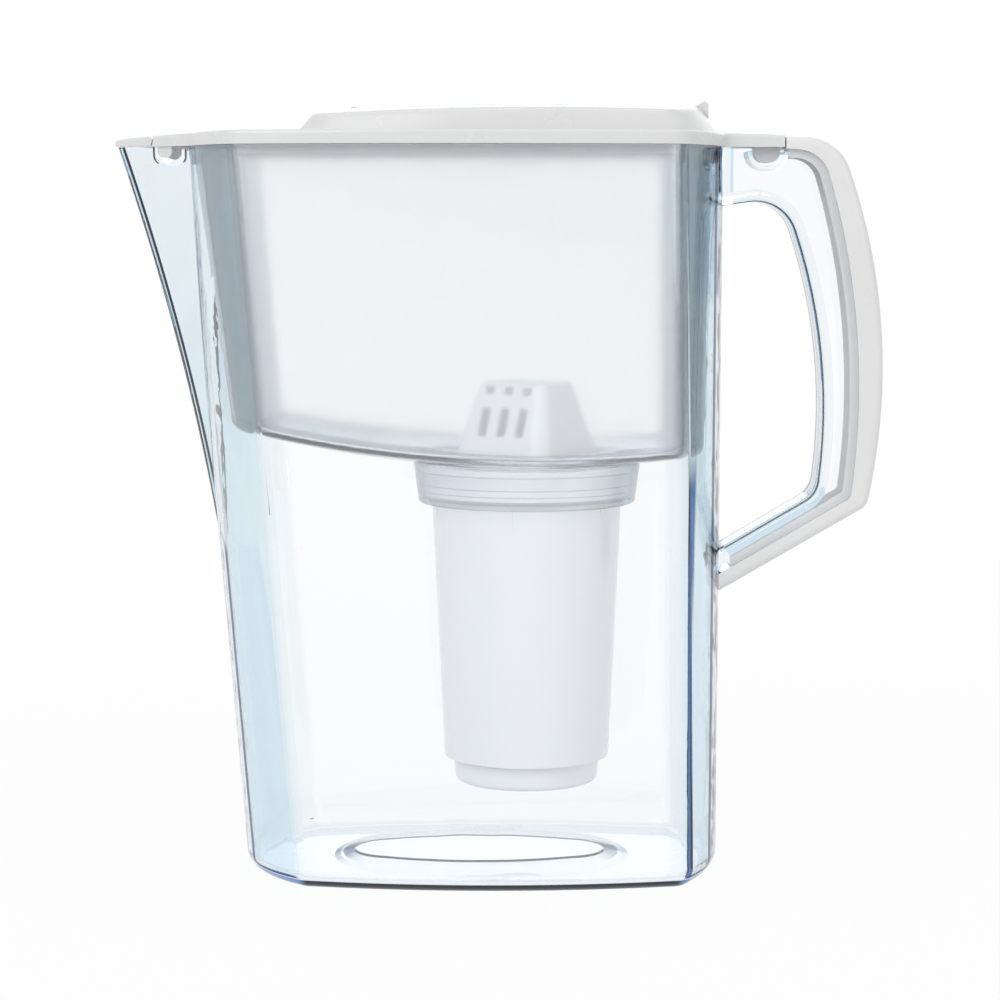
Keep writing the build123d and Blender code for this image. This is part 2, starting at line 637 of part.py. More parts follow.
def seal_ring(radius):
    """The ring under the case's rim."""
    ring = Torus(SEAL_CENTRE_RADIUS, radius)
    return Pos(FILTER_X, 0, CASE_RIM_Z) * ring


def cartridge_body():
    """The filter's tapered case, with a deep rim that drops into the collar."""
    rim_radius = SOCKET_RADIUS - CARTRIDGE_GAP
    top_z = CASE_RIM_Z + CASE_RIM_HEIGHT
    bore = case_radius(CASE_RIM_Z) - CASE_WALL
    case = round_solid(
        [
            (FOOT_RADIUS - FOOT_WALL, CASE_LOW_Z),
            (CASE_LOW_RADIUS, CASE_LOW_Z),
            (CASE_TOP_RADIUS, CASE_RIM_Z),
            (rim_radius, CASE_RIM_Z),
            (rim_radius, top_z),
            (bore, top_z),
            (bore, CASE_RIM_Z),
            (CASE_LOW_RADIUS - CASE_WALL, CASE_LOW_Z + CASE_WALL),
            (FOOT_RADIUS - FOOT_WALL, CASE_LOW_Z + CASE_WALL),
        ]
    )
    guide = block(
        FILTER_X + CASE_TOP_RADIUS - CASE_WALL, FILTER_X + CASE_GUIDE_REACH, CASE_GUIDE_WIDTH / 2, 0, FAR
    )
    cone = round_solid(
        [
            (case_radius(CASE_GUIDE_LOW_Z) - CASE_WALL / 2, CASE_GUIDE_LOW_Z),
            (case_radius(CASE_GUIDE_LOW_Z), CASE_GUIDE_LOW_Z),
            (CASE_GUIDE_REACH, CASE_RIM_Z - CASE_GUIDE_TOP),
            (CASE_GUIDE_REACH, CASE_RIM_Z),
            (case_radius(CASE_RIM_Z) - CASE_WALL / 2, CASE_RIM_Z),
        ]
    )
    axis = Axis((FILTER_X, 0, 0), (0, 0, 1))
    for i in range(CASE_GUIDES):
        turned = guide.rotate(axis, CASE_GUIDE_START + 360 / CASE_GUIDES * i)
        case += turned & cone
    return case - seal_ring(SEAL_RADIUS)


def cartridge_foot():
    """The outlet cup under the case, drilled with rings of holes."""
    cup = round_solid(
        [
            (0, FOOT_LOW_Z),
            (FOOT_LOW_RADIUS, FOOT_LOW_Z),
            (FOOT_RADIUS, CASE_LOW_Z),
            (0, CASE_LOW_Z),
        ]
    )
    cup = fillet(cup.edges().group_by(Axis.Z)[0], FOOT_ROUND)
    hollow_height = CASE_LOW_Z - FOOT_LOW_Z - FOOT_WALL
    hollow_radius = FOOT_LOW_RADIUS - FOOT_WALL
    cup -= Pos(FILTER_X, 0, CASE_LOW_Z - hollow_height / 2) * Cylinder(hollow_radius, hollow_height)
    hole = Pos(FILTER_X, 0, FOOT_LOW_Z) * Cylinder(FOOT_HOLE_RADIUS, FOOT_WALL * 4)
    cup -= hole
    for radius, count in FOOT_HOLE_RINGS:
        for i in range(count):
            turn = 2 * pi / count * i
            cup -= Pos(radius * cos(turn), radius * sin(turn), 0) * hole
    return cup


def disc_in_case(z_low, thickness, gap):
    """A layer that fills the case between two heights."""
    z_high = z_low + thickness
    low_radius = case_radius(z_low) - CASE_WALL - gap
    high_radius = case_radius(z_high) - CASE_WALL - gap
    return round_solid([(0, z_low), (low_radius, z_low), (high_radius, z_high), (0, z_high)])


def hood_block(distance):
    """The hood as a solid: a four-sided block that narrows to the top, its skin moved in."""
    share = (HOOD_TOP_Z - HOOD_BASE_Z) / (HOOD_TOP_Z - HOOD_MARK_Z)
    length = HOOD_TOP_LENGTH + (HOOD_LENGTH - HOOD_TOP_LENGTH) * share
    width = HOOD_TOP_WIDTH + (HOOD_WIDTH - HOOD_TOP_WIDTH) * share
    low = RectangleRounded(length - 2 * distance, width - 2 * distance, HOOD_CORNER - distance)
    top_corner = HOOD_TOP_CORNER - distance
    high = RectangleRounded(HOOD_TOP_LENGTH - 2 * distance, HOOD_TOP_WIDTH - 2 * distance, top_corner)
    return loft([Pos(0, 0, HOOD_BASE_Z) * low, Pos(0, 0, HOOD_TOP_Z - distance) * high], ruled=True)


def cartridge_cap():
    """The slotted hood that lets water into the filter and air out of it."""
    hood = hood_block(0)
    hood = fillet(hood.edges().group_by(Axis.Z)[-1], HOOD_TOP_ROUND)
    flange_radius = SOCKET_RADIUS - CARTRIDGE_GAP
    flange = Cylinder(flange_radius, HOOD_FLANGE_THICK)
    hood += Pos(0, 0, HOOD_BASE_Z - HOOD_FLANGE_THICK / 2) * flange
    hood -= hood_block(HOOD_WALL)
    low_hole = RectangleRounded(HOOD_LENGTH, HOOD_WIDTH, HOOD_CORNER)
    hood -= extrude(Pos(0, 0, HOOD_BASE_Z - HOOD_FLANGE_THICK) * low_hole, HOOD_FLANGE_THICK)
    slot_height = HOOD_SLOT_HIGH_Z - HOOD_SLOT_LOW_Z
    slot = Box(HOOD_SLOT_WIDTH, HOOD_WIDTH * 2, slot_height)
    vent = Box(HOOD_SLOT_WIDTH, HOOD_WIDTH * 2, HOOD_VENT_HEIGHT)
    crown = Box(HOOD_SLOT_WIDTH, HOOD_TOP_WIDTH - 2 * HOOD_VENT_REACH, FAR)
    for i in range(HOOD_SLOTS):
        x = (i - (HOOD_SLOTS - 1) / 2) * HOOD_SLOT_PITCH
        hood -= Pos(x, 0, HOOD_SLOT_LOW_Z + slot_height / 2) * slot
        hood -= Pos(x, 0, HOOD_VENT_Z + HOOD_VENT_HEIGHT / 2) * vent - Pos(x, 0, 0) * crown
    return Pos(FILTER_X, 0, 0) * Rot(0, 0, HOOD_TURN) * hood


# ---------------------------------------------------------------- lid
def lid_blank():
    """The outside of the lid below its dome: rim, tongue over the beak, tail over the handle."""
    outline = plan_face(inset(JUG_RIM, -LID_OVERHANG), RIM_Z)
    outline += beak_face(RIM_Z, -LID_OVERHANG)
    tail_length = TAIL_END_X - FILTER_X
    tail = Rectangle(tail_length, 2 * GRIP_HALF)
    outline += Pos(FILTER_X + tail_length / 2, 0, RIM_Z) * tail
    outline = fillet(inner_corners(outline), LID_BLEND_RADIUS)
    blank = extrude(outline, LID_RIM_THICK)
    blank -= droop_cutter(TONGUE_DROOP_X, TONGUE_DROOP_RADIUS, -1)
    blank -= droop_cutter(TAIL_DROOP_X, TAIL_DROOP_RADIUS, 1)
    upper = [
        edge
        for edge in blank.edges()
        if min(v.Z for v in edge.vertices()) > RIM_Z + LID_RIM_THICK / 3 and not seam_line(edge)
    ]
    return fillet(upper, LID_EDGE_RADIUS)


def inner_corners(outline):
    """The corners where the tongue and the tail run into the lid's rim."""
    tongue_half = beak_root(RIM_Z)[1] + TONGUE_ROOT_MARGIN
    tongue_x = JUG_RIM.front_corner - TONGUE_ROOT_MARGIN
    front = [v for v in outline.vertices() if v.X < tongue_x and abs(v.Y) < tongue_half]
    rear = [v for v in outline.vertices() if v.X > JUG_RIM.rear_corner and abs(v.Y) < GRIP_HALF + TOUCH]
    front = sorted(front, key=lambda v: v.X)[-2:]
    rear = sorted(rear, key=lambda v: v.X)[:2]
    return front + rear


def seam_line(edge):
    """Whether an edge runs across the lid where its top starts to fall, or along its tail's end."""
    start, end = edge @ 0, edge @ 1
    level = abs(start.X - end.X) < TOUCH and abs(start.Z - end.Z) < TOUCH
    return level and min(abs(start.X - x) for x in (TONGUE_DROOP_X, TAIL_DROOP_X, TAIL_END_X)) < TOUCH


def spout_seam(radius, low_z, relief):
    """The region in front of the spout flap's hinge, from the side, round a nose of some radius."""
    norm = sqrt(1 + SPOUT_LEAN**2)
    touch_x = SPOUT_HINGE_X + radius / norm
    touch_z = SPOUT_HINGE_Z - radius * SPOUT_LEAN / norm
    low_x = touch_x - SPOUT_LEAN * (touch_z - low_z)
    high_z = LID_TOP_Z + OVERCUT
    front_x = SPOUT_HINGE_X - FAR / 4
    if relief:
        nose_end = (SPOUT_HINGE_X + radius, SPOUT_HINGE_Z)
        nose_turn = -atan2(SPOUT_LEAN, 1) / 2
        top = (SPOUT_HINGE_X + radius, high_z)
    else:
        nose_end = (SPOUT_HINGE_X, SPOUT_HINGE_Z + radius)
        nose_turn = pi / 4
        top = (SPOUT_HINGE_X, high_z)
    nose_middle = (SPOUT_HINGE_X + radius * cos(nose_turn), SPOUT_HINGE_Z + radius * sin(nose_turn))
    return side_face(
        [
            Line((front_x, low_z), (low_x, low_z)),
            Line((low_x, low_z), (touch_x, touch_z)),
            ThreePointArc((touch_x, touch_z), nose_middle, nose_end),
            Line(nose_end, top),
            Line(top, (front_x, high_z)),
            Line((front_x, high_z), (front_x, low_z)),
        ]
    )


def spout_flap():
    """The flap over the mouth of the beak, with two stub pins towards the middle."""
    flap = lid_blank() & across(spout_seam(SPOUT_NOSE_RADIUS, RIM_Z + SPOUT_REST, False), FAR / 4)
    room = SPOUT_NOSE_RADIUS + SPOUT_SEAM
    knuckle_half = SPOUT_KNUCKLE_HALF + SPOUT_SEAM
    flap -= block(SPOUT_HINGE_X - room, SPOUT_HINGE_X + FAR, knuckle_half, RIM_Z - OVERCUT, LID_TOP_Z + FAR)
    pin_inner = knuckle_half - SPOUT_PIN_LENGTH
    pin_outer = knuckle_half + SPOUT_PIN_LENGTH / 2
    for pin in pair_pins(SPOUT_HINGE_X, SPOUT_HINGE_Z, SPOUT_PIN_RADIUS, pin_inner, pin_outer):
        flap += pin
    return flap


def spout_knuckle():
    """The lid's knuckle between the two halves of the spout flap's hinge."""
    knuckle = bar(SPOUT_HINGE_X, SPOUT_HINGE_Z, SPOUT_NOSE_RADIUS, SPOUT_KNUCKLE_HALF)
    back_x = SPOUT_HINGE_X + SPOUT_NOSE_RADIUS + SPOUT_SEAM + OVERCUT
    z_low, z_high = SPOUT_HINGE_Z - SPOUT_NOSE_RADIUS, SPOUT_HINGE_Z + SPOUT_NOSE_RADIUS
    knuckle += block(SPOUT_HINGE_X, back_x, SPOUT_KNUCKLE_HALF, z_low, z_high)
    bore_inner = SPOUT_KNUCKLE_HALF - SPOUT_PIN_LENGTH
    bore_radius = SPOUT_PIN_RADIUS + PIN_CLEARANCE
    outer = SPOUT_KNUCKLE_HALF + OVERCUT
    for bore in pair_pins(SPOUT_HINGE_X, SPOUT_HINGE_Z, bore_radius, bore_inner, outer):
        knuckle -= bore
    return knuckle


def lid_lugs():
    """The tabs that locate the lid: two in the beak's walls and one in the handle's catch."""
    reach = LUG_DEPTH + OVERCUT
    walls = beak_block(0, RIM_Z - reach, RIM_Z + OVERCUT)
    walls -= beak_block(WALL, RIM_Z - reach - OVERCUT, RIM_Z + 2 * OVERCUT)
    front = walls & across(lug_face(LUG_X, LUG_WIDTH, LUG_DEPTH), FAR / 4)
    rear = across(lug_face(REAR_LUG_X, REAR_LUG_WIDTH, REAR_LUG_DEPTH), REAR_LUG_HALF)
    return front + rear


def lid_frame():
    """The white lid: rim, tongue, tail and dome, with the filling opening and its ledge."""
    lid = lid_blank()
    dome = dome_block(0, LID_TOP_Z - LID_EDGE_RADIUS)
    crown = dome.faces().sort_by(Axis.Z)[-1]
    dome = fillet(crown.edges(), DOME_EDGE_RADIUS)
    lid += dome
    hollow = plan_block(inset(JUG_RIM, LID_SEAT), RIM_Z - OVERCUT, LID_TOP_Z - LID_WALL)
    hollow += dome_block(LID_WALL, RIM_Z - OVERCUT)
    tongue_hollow = extrude(beak_face(RIM_Z - OVERCUT, TONGUE_SEAT), LID_RIM_THICK + OVERCUT - LID_WALL)
    hollow += tongue_hollow & block(TONGUE_HOLLOW_X, 0, FAR, 0, RIM_Z + FAR)
    tail_half = GRIP_HALF - LID_WALL
    tail_low_x = JUG_RIM.rear_end + LID_OVERHANG + LID_WALL
    hollow += block(tail_low_x, TAIL_END_X - LID_WALL, tail_half, RIM_Z - OVERCUT, LID_TOP_Z - TAIL_CROWN)
    lid -= hollow
    skirt_plan = inset(HOPPER_RIM, HOPPER_WALL + SKIRT_FIT)
    skirt_top_z = LID_TOP_Z - LID_WALL + TOUCH
    skirt = plan_block(skirt_plan, RIM_Z - SKIRT_DEPTH, skirt_top_z)
    skirt -= plan_block(inset(skirt_plan, SKIRT_WALL), RIM_Z - SKIRT_DEPTH - OVERCUT, skirt_top_z + OVERCUT)
    lid += skirt
    lid += lid_lugs()
    rear_post = block(
        REAR_LUG_X - REAR_LUG_WIDTH / 2, REAR_LUG_X + REAR_LUG_WIDTH / 2, REAR_LUG_HALF, RIM_Z,
        LID_TOP_Z - TAIL_CROWN + TOUCH,
    )
    lid += rear_post
    lid = with_fill_opening(lid)
    lid -= across(spout_seam(SPOUT_NOSE_RADIUS + SPOUT_SEAM, RIM_Z - FAR / 8, True), FAR / 4)
    return lid + spout_knuckle()


def with_fill_opening(lid):
    """The lid with its filling opening, the ledge round it, the hinge ears and the thumb recess."""
    ledge_depth = FLAP_THICK + FLAP_REST
    ledge = flap_block(FLAP_SEAM + LEDGE_WIDTH) & crest_block(LID_WALL - TOUCH)
    ledge -= crest_block(ledge_depth + LEDGE_THICK)
    lid += ledge
    ear_low = FLAP_NOSE_HALF + FLAP_SEAM
    nose_room = FLAP_NOSE_RADIUS + FLAP_SEAM
    ears = pair_block(
        FLAP_HINGE_X - nose_room, FLAP_HINGE_X + EAR_REACH, ear_low, ear_low + EAR_WIDTH,
        FLAP_HINGE_Z - EAR_DEPTH, DOME_TOP_Z,
    )
    cheek = FIN_HALF + FLAP_SEAM
    shelf_z = FIN_LOW_Z - FLAP_REST
    shelf_x = FLAP_REAR_X + FLAP_SEAM - LEDGE_WIDTH
    recess_walls = block(shelf_x, DOME_LOW.rear_end, cheek + LID_WALL, shelf_z - SHELF_THICK, DOME_TOP_Z)
    dome = dome_block(0, RIM_Z)
    lid += recess_walls & dome_block(LID_WALL / 2, RIM_Z)
    pocket = flap_block(FLAP_SEAM) - crest_block(ledge_depth)
    passage = flap_block(FLAP_SEAM - LEDGE_WIDTH)
    passage -= block(shelf_x, FAR, cheek + LID_WALL, shelf_z - SHELF_THICK, FAR * 2)
    lid -= pocket
    lid -= passage
    lid -= block(FLAP_HINGE_X + EAR_REACH, FLAP_FRONT_X, EAR_RELIEF_HALF, FLAP_HINGE_Z - OVERCUT, FAR * 2)
    lid += ears & dome & crest_block(0)
    lid -= bar(FLAP_HINGE_X, FLAP_HINGE_Z, nose_room, ear_low)
    lid -= block(FLAP_HINGE_X - nose_room, FLAP_FRONT_X, ear_low, FLAP_HINGE_Z, FAR * 2)
    lid -= block(shelf_x - OVERCUT, FAR, cheek, shelf_z, FAR * 2)
    bore_outer = FLAP_NOSE_HALF + FLAP_PIN_LENGTH + FLAP_SEAM
    for bore in pair_pins(FLAP_HINGE_X, FLAP_HINGE_Z, FLAP_PIN_RADIUS + PIN_CLEARANCE, ear_low, bore_outer):
        lid -= bore
    return lid


def flip_lid():
    """The flap over the filling opening, with its hinge nose in front and its thumb fin behind."""
    skin = crest_block(0) - crest_block(FLAP_THICK)
    flap = flap_block(0) & skin
    flap += block(FLAP_HINGE_X, FLAP_FRONT_X + OVERCUT, FLAP_NOSE_HALF, RIM_Z, FAR * 2) & skin
    flap += bar(FLAP_HINGE_X, FLAP_HINGE_Z, FLAP_NOSE_RADIUS, FLAP_NOSE_HALF) & crest_block(0)
    rib_out = FLAP_SEAM - LEDGE_WIDTH - FLAP_RIB_PLAY
    rib = flap_block(rib_out) - flap_block(rib_out - FLAP_RIB_WALL)
    rib = rib & crest_block(FLAP_THICK - TOUCH)
    flap += rib - crest_block(FLAP_THICK + FLAP_RIB_DEPTH)
    fin_root_x = FLAP_REAR_X - FIN_OVERLAP
    fin_profile = Polyline(
        (fin_root_x, crest_z(fin_root_x) - FLAP_THICK - FIN_ROOT_DROP),
        (fin_root_x, crest_z(fin_root_x) - FLAP_THICK / 2),
        FIN_FRONT,
        FIN_PEAK,
        FIN_REAR,
        (FIN_REAR[0], FIN_LOW_Z),
        (FIN_REAR[0] - FIN_FOOT, FIN_LOW_Z),
        close=True,
    )
    flap += across(side_face(fin_profile), FIN_HALF)
    pin_inner = FLAP_NOSE_HALF - FLAP_PIN_LENGTH / 2
    pin_outer = FLAP_NOSE_HALF + FLAP_PIN_LENGTH
    for pin in pair_pins(FLAP_HINGE_X, FLAP_HINGE_Z, FLAP_PIN_RADIUS, pin_inner, pin_outer):
        flap += pin
    return flap


# ---------------------------------------------------------------- output
def pieces():
    """Every separate piece by its name."""
    case_floor_z = CASE_LOW_Z + CASE_WALL
    bed_low_z = case_floor_z + SCREEN_THICK
    bed_height = CASE_RIM_Z - SCREEN_THICK - bed_low_z
    return {
        "jug_body": jug_body(),
        "handle_cover": handle_cover(),
        "hopper": hopper(),
        "lid_frame": lid_frame(),
        "flip_lid": flip_lid(),
        "spout_flap": spout_flap(),
        "cartridge_body": cartridge_body(),
        "cartridge_cap": cartridge_cap(),
        "cartridge_foot": cartridge_foot(),
        "cartridge_seal": seal_ring(SEAL_RADIUS),
        "sorbent_bed": disc_in_case(bed_low_z, bed_height, BED_GAP),
        "inlet_screen": disc_in_case(CASE_RIM_Z - SCREEN_THICK, SCREEN_THICK, BED_GAP),
        "outlet_screen": disc_in_case(case_floor_z, SCREEN_THICK, BED_GAP),
    }


os.makedirs("parts", exist_ok=True)
for name, piece in pieces().items():
    export_step(piece, f"parts/{name}.step")
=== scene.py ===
import bpy
from math import radians
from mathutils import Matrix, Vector

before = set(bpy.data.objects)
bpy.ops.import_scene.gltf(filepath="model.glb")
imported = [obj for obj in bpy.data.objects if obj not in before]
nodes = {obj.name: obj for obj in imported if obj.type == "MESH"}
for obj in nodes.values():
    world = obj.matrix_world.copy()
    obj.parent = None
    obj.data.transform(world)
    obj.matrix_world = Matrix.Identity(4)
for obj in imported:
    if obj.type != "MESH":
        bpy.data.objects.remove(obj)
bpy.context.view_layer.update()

# Lengths are in metres, in the row frame. A span is the pair of values between which a mask
# rises from 0 to 1, or falls where its first value is the higher one. A turn is how far a wall
# is turned from the eye: 0 where it is seen square on, 1 where it is seen edge-on. An endways
# or level share is how far a wall faces along X, or up or down. A clear surface tints by the
# square root of its colour, so the dark lines' colours are squares.

# ---------------------------------------------------------------- the jug from the side
JUG_HEIGHT = 0.2495
FRONT_WALL = (-0.0885, -0.1084)  # X at the table and at the rim
REAR_WALL = (0.0759, 0.0766)
RIDGE_FOOT = (-0.0982, 0.118)  # X and Z of the beak's ridge
RIDGE_TOP = (-0.1312, 0.2495)
RIDGE_BOW = 0.0105
BASE_ROUND = 0.006
OUTER_SPAN = (0.001, 0.004)  # an outer face's normal times its place
BEAK_Z_SPAN = (0.112, 0.122)
BEAK_X_SPAN = (-0.04, -0.06)

# ---------------------------------------------------------------- the jug's tints and its painted shade lines
# Colours of the painted shade: dark and navy lines painted at the jug's outline, rear corner and
# base
SHADE_DARK = (0.0, 0.0, 0.0004)
SHADE_NAVY = (0.0003, 0.002, 0.035)
JUG_STOPS = (  # colour by turn
    (0.08, (1.0, 1.0, 1.0)),
    (0.30, (0.80, 0.885, 0.925)),
    (0.75, (0.72, 0.83, 0.89)),
    (1.0, (0.66, 0.79, 0.87)),
)
JUG_THICK_BLUE = (0.5, 0.67, 0.78)  # what the thickness of a wall takes up
JUG_THICK_DENSITY = 12.0
JUG_PASSES = (0.985, 0.99, 0.995)
JUG_IOR = 1.5
JUG_SHINE = 0.2
JUG_GLOSS_NOISE = (35.0, 0.0)  # scale and detail
JUG_ROUGHNESS = (0.0, 0.01)

FLOOR_TINT = (0.86, 0.89, 0.92)
FLOOR_LEVEL_SPAN = (0.85, 0.95)
FLOOR_Z_SPAN = (0.007, 0.005)

# Painted shade: a dark line where light leaves a wall near the critical angle
INNER_SHADE_LINE = (0.0005, 0.002, 0.02)  # where light leaves a wall near the critical angle
INNER_LINE_RISE = (0.243, 0.255)  # turn
INNER_LINE_FALL = (0.285, 0.262)
INNER_LINE_Z_SPAN = (0.008, 0.01)
INNER_LINE_DEPTH_SPAN = (0.0018, 0.0022)  # on the beak, how far inside the outline

RIDGE_Y_SPAN = (0.008, 0.006)
RIDGE_TURN_SPAN = (0.8, 0.66)
NOSE_BLUE = (0.36, 0.58, 0.73)
NOSE_DEPTH_SPAN = (0.002, 0.0018)
NOSE_TURN_SPAN = (0.15, 0.3)

# Painted corner bands: painted shade from dark at the inner edge to navy at the outer edge at the
# rear corner, pale blues at the front corner
REAR_CORNER_SHADE = (SHADE_DARK, (0.008, 0.035, 0.17))  # from the inner to the outer edge of its band
FRONT_CORNER = ((0.6, 0.74, 0.86), (0.68, 0.8, 0.9))
CORNER_SHADE_SPAN = (0.02, 0.06)  # turn past the start of the band
CORNER_START = (0.27, 0.42)  # turn where the band starts, low and high on the jug
CORNER_START_Z = (0.03, 0.155)
CORNER_END_SPAN = (0.57, 0.55)  # turn
CORNER_FACE = (0.5, 0.87)  # endways share
CORNER_SOFT = 0.01
CORNER_LEVEL_SPAN = (0.5, 0.3)
REAR_CORNER_Z_SPAN = (0.155, 0.135)

# The outline line is painted shade: a dark line just inside the jug's outline, navy on the beak
OUTLINE_START = (0.0034, 0.0018)  # depth of the dark line inside the outline: walls, beak
OUTLINE_END = (0.0045, 0.0029)
OUTLINE_SOFT = 0.0001
OUTLINE_TURN_SPAN = (0.3, 0.45)
OUTLINE_ENDWAYS_SPAN = (0.1, 0.25)

# The base line is painted shade: dark turning to blue along the bottom edge of the jug
BASE_SHADE_BLUE = (0.012, 0.07, 0.33)
BASE_BLUE_SPAN = (0.2, 0.6)  # endways share, from the dark line to the blue one
BASE_LINE_Z_SPAN = (0.0033, 0.003)
BASE_LINE_ENDWAYS_SPAN = (0.95, 0.75)
BASE_LINE_LEVEL_SPAN = (0.985, 0.96)

# ---------------------------------------------------------------- the hopper
# Painted shade: the frosted walls darken toward grey as they turn edge-on, less at the collar
HOPPER_SHADE_STOPS = (  # colour by turn
    (0.13, (0.99, 0.99, 0.995)),
    (0.28, (0.62, 0.65, 0.68)),
    (0.8, (0.34, 0.37, 0.4)),
    (1.0, (0.3, 0.32, 0.35)),
)
COLLAR_SHADE_STOPS = (
    (0.15, (0.99, 0.99, 0.995)),
    (0.6, (0.8, 0.82, 0.84)),
    (1.0, (0.55, 0.57, 0.6)),
)
COLLAR_Z_SPAN = (0.1475, 0.1455)
COLLAR_RINGS = (0.1389, 0.1345, 0.1322)  # Z of its moulded rings
# Painted shade: a darker line at the height of each moulded ring
RING_SHADE = (0.74, 0.76, 0.79)
RING_HALF = 0.0002
RING_SOFT = 0.0001
HOPPER_CLEAR = 0.94
HOPPER_PASSES = (0.96, 0.965, 0.97)
HOPPER_IOR = 1.45
HOPPER_GLOSS_NOISE = (90.0, 1.0)
HOPPER_ROUGHNESS = (0.13, 0.17)

# ---------------------------------------------------------------- the other pieces
PATTERN_SPAN = (0.3, 0.7)  # where nearly all of a noise lies
MOULDED_IOR = 1.5
MOTTLE_NOISE = (22.0, 4.0)
GLOSS_NOISE = (60.0, 5.0, 0.6)  # scale, detail and roughness
GRAIN_NOISE = (900.0, 2.0)
GRAIN_STRENGTH = 0.08
GRAIN_DEPTH = 0.00002
CASE_GRAIN_DEPTH = 0.000005
HOOD_PASSES = (0.85, 0.85, 0.85)
GRANULE_SCALE = 1100.0
GRANULE_TONES = ((0.01, 0.01, 0.01), (0.09, 0.08, 0.07))
GRANULE_ROUGHNESS = 0.8
GRANULE_DEPTH = 0.0004
WEAVE_SCALE = 900.0
WEAVE_COLOURS = {
    "Color1": (0.82, 0.83, 0.84),
    "Color2": (0.76, 0.77, 0.79),
    "Mortar": (0.45, 0.46, 0.48),
}
WEAVE_ROUGHNESS = 0.7
WEAVE_DEPTH = 0.0001

# ---------------------------------------------------------------- floor, light and camera
FLOOR_HALF = 6.0
FLOOR_TONES = ((0.86, 0.86, 0.865), (0.88, 0.88, 0.885))
FLOOR_NOISE = (3.0, 2.0)
FLOOR_ROUGHNESS = 0.9
FLOOR_WHITE = (0.92, 1.0)  # share of white near the jug and far from it
FLOOR_WHITE_SPAN = (0.2, 0.9)
WORLD_LIGHT = 0.58
WORLD_COLOUR = (0.97, 0.985, 1.0)
CAUGHT_STEPS = 4.0
CAUGHT_STOPS = (  # colour after 0, 1, 2 and 3 reflections inside the clear walls
    (0.0, (1.0, 1.0, 1.0)),
    (0.25, (0.72, 0.84, 0.93)),
    (0.5, (0.3, 0.46, 0.66)),
    (0.75, (0.12, 0.22, 0.38)),
)
LAMP_AIM = (0.0, 0.0, 0.14)
LAMPS = (  # name, place, width, height, watts, and whether glossy surfaces mirror it
    ("key_left", (-0.9, -1.3, 1.1), 1.0, 1.2, 13.0, True),
    ("fill_right", (1.2, -0.9, 0.7), 0.8, 1.2, 4.8, False),
    ("top", (0.0, 0.1, 1.5), 1.2, 0.9, 2.4, True),
    ("back", (0.2, 1.5, 0.8), 1.6, 1.0, 3.2, True),
)
CAMERA_PLACE = (0.0, -0.917, 0.2241)
CAMERA_DOWN = 6.0  # degrees below the horizon
SENSOR_WIDTH = 36.0
LENS_RATIO = 2.645  # focal length over sensor width
CLIP = (0.05, 50.0)


# ---------------------------------------------------------------- node helpers
class Value:
    """A number that a node gives, with plain arithmetic."""

    def __init__(self, mat, socket):
        self.mat = mat
        self.socket = socket

    def __add__(self, other):
        return self.mat.calc("ADD", self, other)

    def __sub__(self, other):
        return self.mat.calc("SUBTRACT", self, other)

    def __rsub__(self, other):
        return self.mat.calc("SUBTRACT", other, self)

    def __mul__(self, other):
        return self.mat.calc("MULTIPLY", self, other)

    def __truediv__(self, other):
        return self.mat.calc("DIVIDE", self, other)

    def __abs__(self):
        return self.mat.calc("ABSOLUTE", self)


